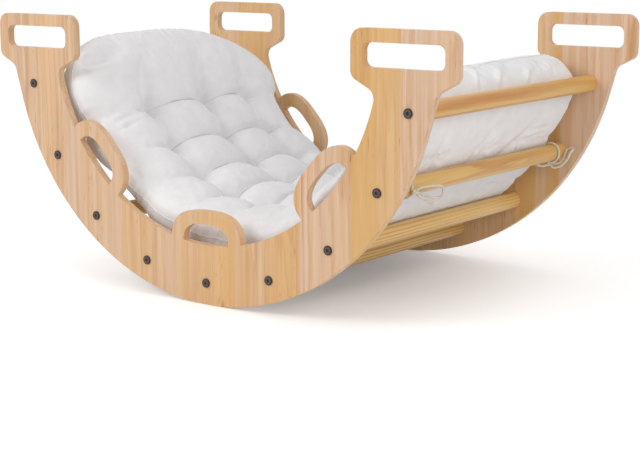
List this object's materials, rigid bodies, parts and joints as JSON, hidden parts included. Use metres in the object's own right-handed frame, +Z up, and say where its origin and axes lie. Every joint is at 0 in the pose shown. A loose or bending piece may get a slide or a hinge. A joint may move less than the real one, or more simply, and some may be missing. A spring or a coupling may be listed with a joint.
{
  "type": "wooden rocker arch",
  "caption": "Child's wooden rocker arch: two curved pine sides with grip slots and loop handles, joined by round rungs, with a tufted cotton cushion tied inside.",
  "frame": {"origin": "on the floor, under the middle of the arch, half way between the two side panels", "axes": "+X along the arch, +Y from the front panel to the back panel, +Z up"},
  "size_m": [0.98, 0.5952, 0.4735],
  "materials": {
    "panel_pine": "clear-lacquered solid pine, satin",
    "rung_pine": "clear-lacquered pine dowel, strong lengthwise grain, satin",
    "black_steel": "black oxide, slightly glossy",
    "zinc_steel": "zinc-plated",
    "cushion_cotton": "plain-woven off-white cotton",
    "tie_cotton": "twisted natural cotton cord"
  },
  "bodies": {
    "root": {"front_panel": "panel_pine", "back_panel": "panel_pine", "rung_1": "rung_pine", "rung_2": "rung_pine", "rung_3": "rung_pine", "rung_4": "rung_pine", "rung_5": "rung_pine", "rung_6": "rung_pine", "rung_7": "rung_pine", "rung_8": "rung_pine", "rung_9": "rung_pine", "front_bolts": "black_steel", "back_bolts": "black_steel", "front_inserts": "zinc_steel", "back_inserts": "zinc_steel", "cushion": "cushion_cotton", "front_left_tie": "tie_cotton", "front_right_tie": "tie_cotton", "back_left_tie": "tie_cotton", "back_right_tie": "tie_cotton", "front_left_bow": "tie_cotton", "front_right_bow": "tie_cotton", "back_left_bow": "tie_cotton", "back_right_bow": "tie_cotton"}
  },
  "joints": []
}
